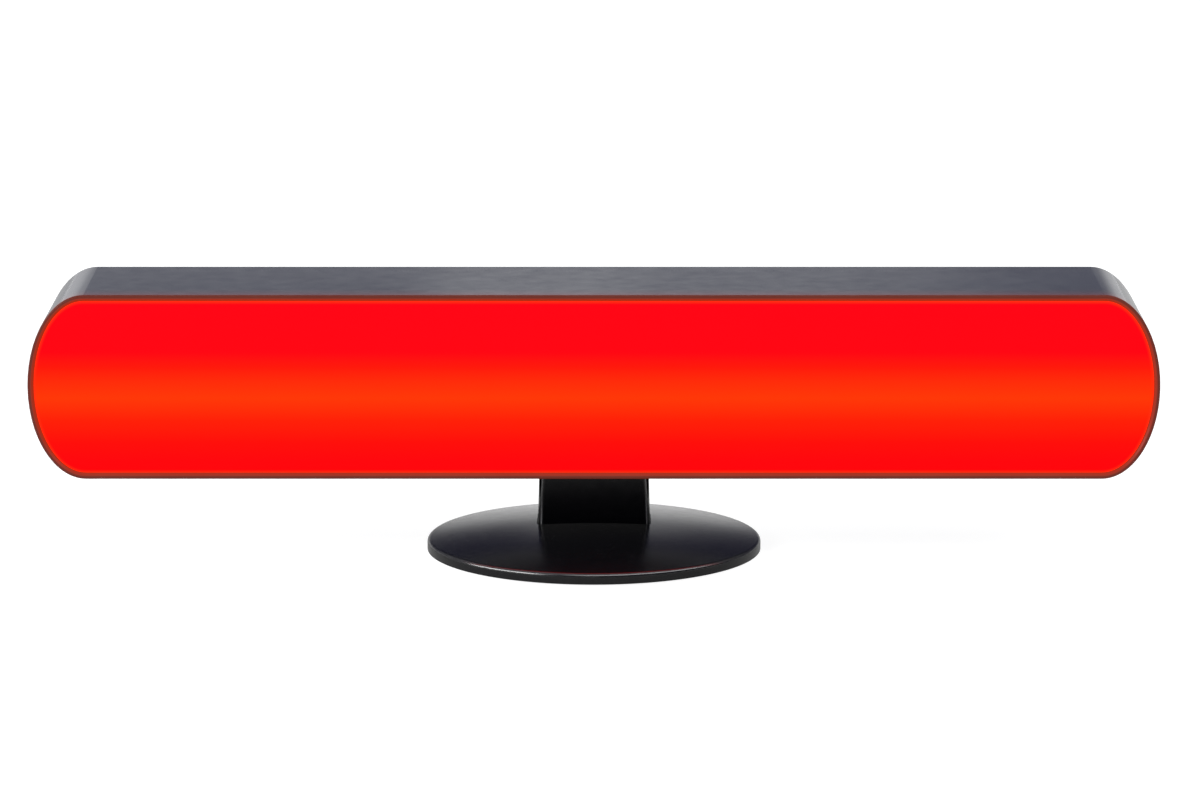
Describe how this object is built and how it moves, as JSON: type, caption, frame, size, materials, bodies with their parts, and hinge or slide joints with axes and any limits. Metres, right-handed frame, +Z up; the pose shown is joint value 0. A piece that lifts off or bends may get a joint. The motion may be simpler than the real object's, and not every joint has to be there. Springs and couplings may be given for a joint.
{
  "type": "monitor light bar",
  "caption": "Free-standing light bar: a long flat-faced lamp with rounded ends and a glowing front panel, tilting on a short neck over a round weighted base.",
  "frame": {"origin": "on the table under the centre of the round base", "axes": "+X along the bar towards the right as its lit face is seen, +Y from the lit face towards the rear cover, +Z up"},
  "size_m": [0.4, 0.12, 0.098],
  "materials": {
    "housing": "satin slate grey",
    "front_bezel": "satin dark brown",
    "diffuser": "opal, lit red and orange",
    "light_seal": "foam",
    "reflector_tray": "white",
    "led_board": "white solder mask",
    "leds": "clear resin",
    "inner_screws": "zinc plated",
    "connectors": "ivory",
    "lead": "soft jacket",
    "rear_cover": "fine textured",
    "black_screws": "black oxide",
    "circuit_board": "green solder mask",
    "components": "moulded packages",
    "socket_shell": "plated",
    "socket_tongue": "moulded",
    "switch": "moulded",
    "button": "satin",
    "hinge_steel": "pressed",
    "friction_disc": "acetal",
    "neck": "gloss black",
    "base": "gloss black",
    "weight": "raw",
    "base_plate": "black powder coat",
    "foot": "matt"
  },
  "bodies": {
    "stand": {"base_cover": "base", "base_weight": "weight", "base_plate": "base_plate", "base_screws": "black_screws", "rubber_feet": "foot", "neck_shell": "neck", "neck_bracket": "hinge_steel", "neck_screws": "inner_screws", "tilt_axle": "hinge_steel", "hinge_spacer": "hinge_steel", "friction_washers": "friction_disc", "spring_washer": "hinge_steel", "axle_nut": "hinge_steel"},
    "bar": {"housing": "housing", "front_bezel": "front_bezel", "diffuser": "diffuser", "light_seal": "light_seal", "reflector_tray": "reflector_tray", "led_board": "led_board", "leds": "leds", "led_board_screws": "inner_screws", "led_header": "connectors", "board_header": "connectors", "lead_plugs": "connectors", "led_lead": "lead", "rear_cover": "rear_cover", "rear_cover_screws": "black_screws", "control_board": "circuit_board", "board_screws": "inner_screws", "board_components": "components", "usb_receptacle": "socket_shell", "usb_tongue": "socket_tongue", "switch_bodies": "switch", "tilt_bracket": "hinge_steel", "tilt_bracket_screws": "inner_screws"},
    "power_button": {"power_button": "button", "power_plunger": "switch"},
    "colour_button": {"colour_button": "button", "colour_plunger": "switch"},
    "brightness_button": {"brightness_button": "button", "brightness_plunger": "switch"}
  },
  "joints": [
    {"name": "tilt", "type": "hinge", "parent": "stand", "child": "bar", "pos_m": [0, 0.014, 0.045], "axis": [-1, 0, 0], "range_deg": [-5, 15]},
    {"name": "power_press", "type": "slide", "parent": "bar", "child": "power_button", "axis": [0, -1, 0], "range_m": [0, 0.0006], "stiffness_N_per_m": 1500, "springref_m": -0.0004},
    {"name": "colour_press", "type": "slide", "parent": "bar", "child": "colour_button", "axis": [0, -1, 0], "range_m": [0, 0.0006], "stiffness_N_per_m": 1500, "springref_m": -0.0004},
    {"name": "brightness_press", "type": "slide", "parent": "bar", "child": "brightness_button", "axis": [0, -1, 0], "range_m": [0, 0.0006], "stiffness_N_per_m": 1500, "springref_m": -0.0004}
  ]
}
